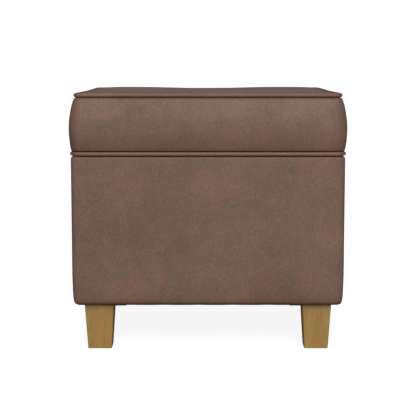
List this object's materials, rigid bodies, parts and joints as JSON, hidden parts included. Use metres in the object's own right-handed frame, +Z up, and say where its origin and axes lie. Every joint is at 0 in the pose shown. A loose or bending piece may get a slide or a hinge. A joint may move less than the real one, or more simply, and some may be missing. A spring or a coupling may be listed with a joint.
{
  "type": "storage ottoman",
  "caption": "Square upholstered storage ottoman: a padded box on short tapered wooden legs, with a thick welted cushion lid hinged at the rear on folding stays.",
  "frame": {"origin": "on the floor under the middle of the body", "axes": "+Z up; the front faces -Y and +X is to the right seen from the front; the lid hinges at the rear, +Y"},
  "size_m": [0.4646, 0.4646, 0.4386],
  "materials": {
    "cover": "distressed matt faux leather",
    "leg_wood": "satin oak stain",
    "board": "raw plywood",
    "foam": "open-cell foam",
    "wadding": "polyester wadding",
    "lining": "black non-woven",
    "steel": "zinc plated",
    "rubber": "matt"
  },
  "bodies": {
    "box": {"front_panel": "board", "rear_panel": "board", "left_panel": "board", "right_panel": "board", "floor_panel": "board", "front_left_block": "board", "front_right_block": "board", "rear_left_block": "board", "rear_right_block": "board", "front_padding": "foam", "rear_padding": "foam", "left_padding": "foam", "right_padding": "foam", "body_cover": "cover", "front_lining": "lining", "rear_lining": "lining", "left_lining": "lining", "right_lining": "lining", "floor_lining": "lining", "dust_cover": "lining", "dust_cover_staples": "steel", "front_left_leg": "leg_wood", "front_right_leg": "leg_wood", "rear_left_leg": "leg_wood", "rear_right_leg": "leg_wood", "leg_bolts": "steel", "leg_nuts": "steel", "foot_glides": "rubber", "panel_screws": "steel", "rim_bumpers": "rubber", "left_hinge_box_leaf": "steel", "right_hinge_box_leaf": "steel", "hinge_pins": "steel", "hinge_box_screws": "steel", "left_stay_box_bracket": "steel", "right_stay_box_bracket": "steel", "stay_box_pivots": "steel", "stay_box_screws": "steel"},
    "lid": {"lid_board": "board", "lid_foam": "foam", "lid_wadding": "wadding", "lid_boxing": "cover", "lid_top_cover": "cover", "lower_welt": "cover", "upper_welt": "cover", "lid_lining": "lining", "left_hinge_lid_leaf": "steel", "right_hinge_lid_leaf": "steel", "hinge_lid_screws": "steel", "left_stay_lid_bracket": "steel", "right_stay_lid_bracket": "steel", "stay_lid_pivots": "steel", "stay_lid_screws": "steel"},
    "left_stay_lower": {"left_stay_lower_arm": "steel", "left_stay_elbow_rivet": "steel"},
    "left_stay_upper": {"left_stay_upper_arm": "steel"},
    "right_stay_lower": {"right_stay_lower_arm": "steel", "right_stay_elbow_rivet": "steel"},
    "right_stay_upper": {"right_stay_upper_arm": "steel"}
  },
  "joints": [
    {"name": "lid_hinge", "type": "hinge", "parent": "box", "child": "lid", "pos_m": [0, 0.2264, 0.3311], "axis": [-1, 0, 0], "range_deg": [0, 100]},
    {"name": "left_stay_box_pivot", "type": "hinge", "parent": "box", "child": "left_stay_lower", "pos_m": [-0.2027, 0.1905, 0.23777], "axis": [-1, 0, 0], "range_deg": [0, 100]},
    {"name": "left_stay_elbow", "type": "hinge", "parent": "left_stay_lower", "child": "left_stay_upper", "pos_m": [-0.2004, 0.09095, 0.22827], "axis": [-1, 0, 0], "range_deg": [-100, 0]},
    {"name": "right_stay_box_pivot", "type": "hinge", "parent": "box", "child": "right_stay_lower", "pos_m": [0.2027, 0.1905, 0.23777], "axis": [-1, 0, 0], "range_deg": [0, 100]},
    {"name": "right_stay_elbow", "type": "hinge", "parent": "right_stay_lower", "child": "right_stay_upper", "pos_m": [0.2004, 0.09095, 0.22827], "axis": [-1, 0, 0], "range_deg": [-100, 0]}
  ],
  "couplings": [
    {"joint": "left_stay_box_pivot", "follows": "lid_hinge", "ratio": 1},
    {"joint": "left_stay_elbow", "follows": "lid_hinge", "ratio": -1},
    {"joint": "right_stay_box_pivot", "follows": "lid_hinge", "ratio": 1},
    {"joint": "right_stay_elbow", "follows": "lid_hinge", "ratio": -1}
  ]
}
